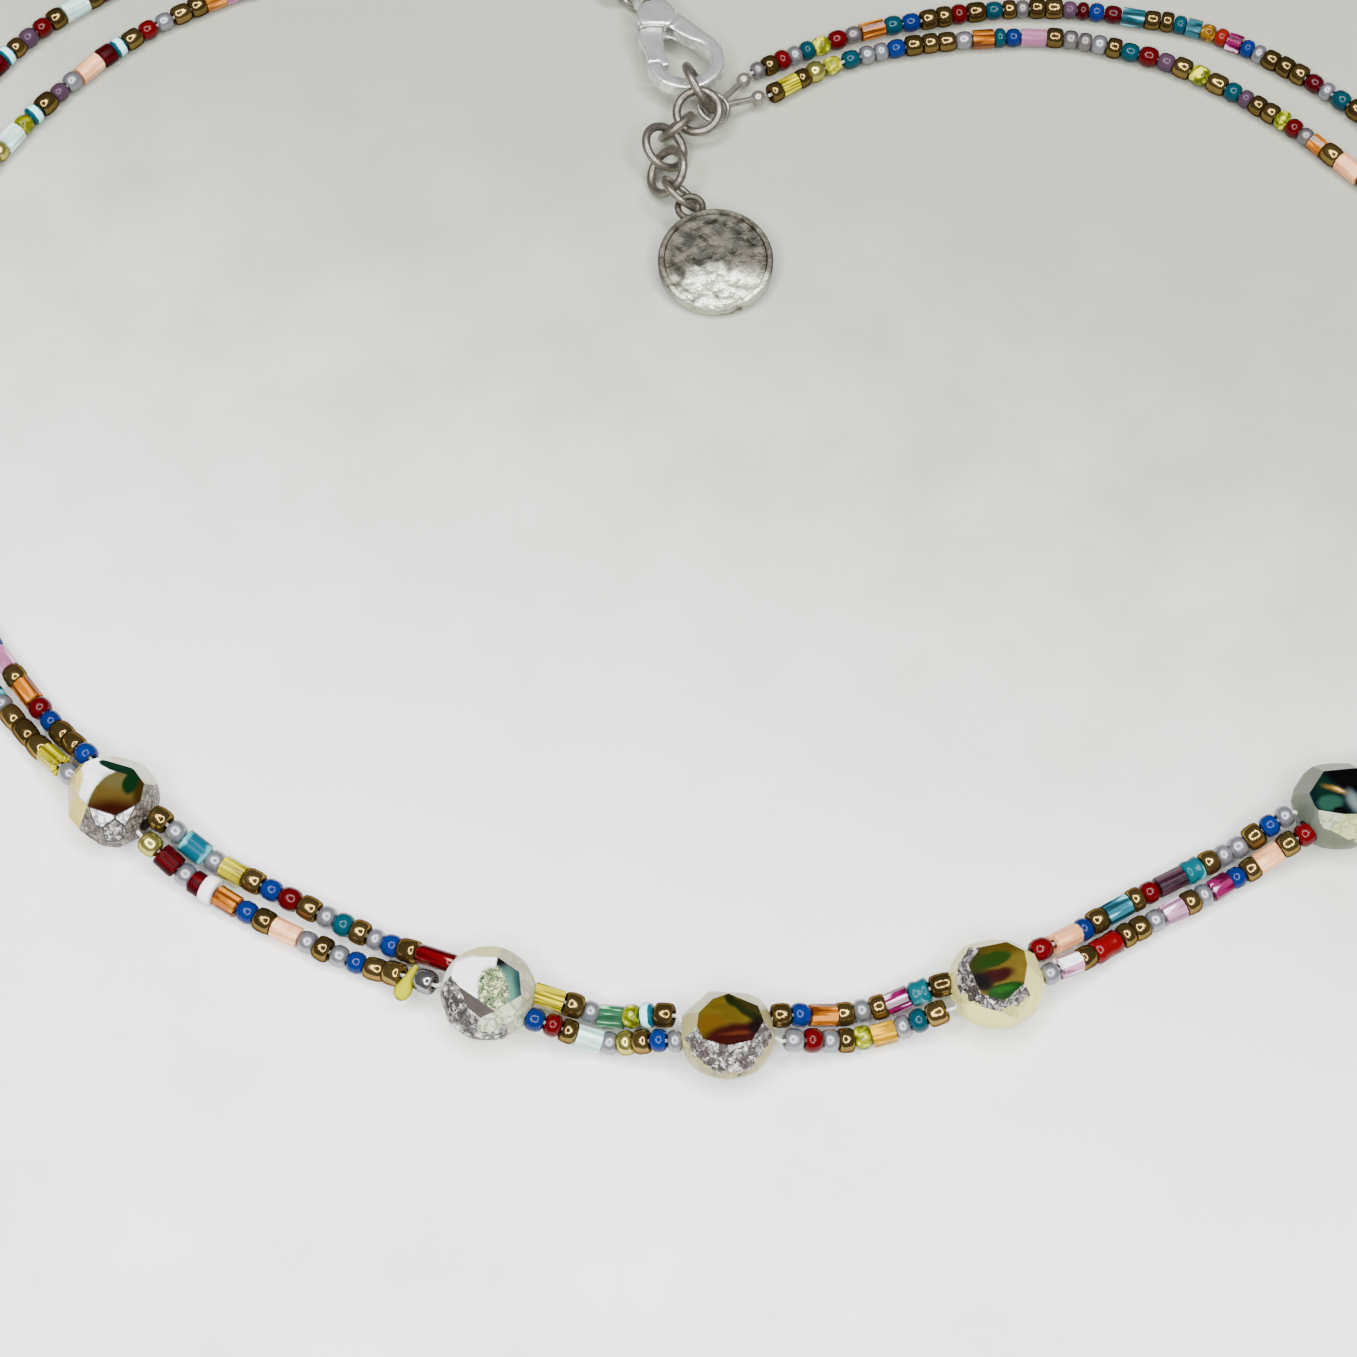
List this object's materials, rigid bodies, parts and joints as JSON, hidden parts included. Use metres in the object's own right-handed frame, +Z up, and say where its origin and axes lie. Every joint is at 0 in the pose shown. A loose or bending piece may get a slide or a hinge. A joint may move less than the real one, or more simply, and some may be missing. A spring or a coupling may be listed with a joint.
{
  "type": "beaded choker",
  "caption": "Double-string choker of mixed glass seed beads and large faceted window beads, fastened by a lobster clasp with a short extender chain and a coin charm.",
  "frame": {"origin": "middle of the lying choker's footprint, on the surface it lies on", "axes": "+X along the longest extent, to the wearer's side that has the ring in the hook; -Y towards the front with the window beads, +Y towards the clasp; +Z up from the surface"},
  "size_m": [0.169, 0.1353, 0.0057],
  "materials": {
    "seed_glass": "mixed bronze, silver and coloured glass beads, shiny",
    "window_glass": "opaque and transparent picasso glass, polished windows, crackled silvery facets",
    "clasp_metal": "bright silver plate, polished",
    "chain_metal": "antique silver plate, dull",
    "charm_metal": "antique silver plate, worn"
  },
  "bodies": {
    "necklace": {"window_bead_1": "window_glass", "window_bead_2": "window_glass", "window_bead_3": "window_glass", "window_bead_4": "window_glass", "window_bead_5": "window_glass", "inner_strand": "seed_glass", "outer_strand": "seed_glass", "end_loop_inner_left": "clasp_metal", "end_loop_outer_left": "clasp_metal", "end_loop_inner_right": "clasp_metal", "end_loop_outer_right": "clasp_metal", "clasp_body": "clasp_metal", "clasp_ring": "clasp_metal", "hook_ring": "chain_metal", "chain_link_1": "chain_metal", "chain_link_2": "chain_metal", "chain_link_3": "chain_metal", "chain_link_4": "chain_metal", "charm_ring": "chain_metal", "coin_charm": "charm_metal"},
    "lever": {"clasp_lever": "clasp_metal"}
  },
  "joints": [
    {"name": "lever_hinge", "type": "hinge", "parent": "necklace", "child": "lever", "pos_m": [-0.00585, 0.05104, 0.0025], "axis": [0, 0, 1], "range_deg": [0, 25], "stiffness_Nm_per_rad": 0.0005, "springref_deg": -11.46}
  ]
}
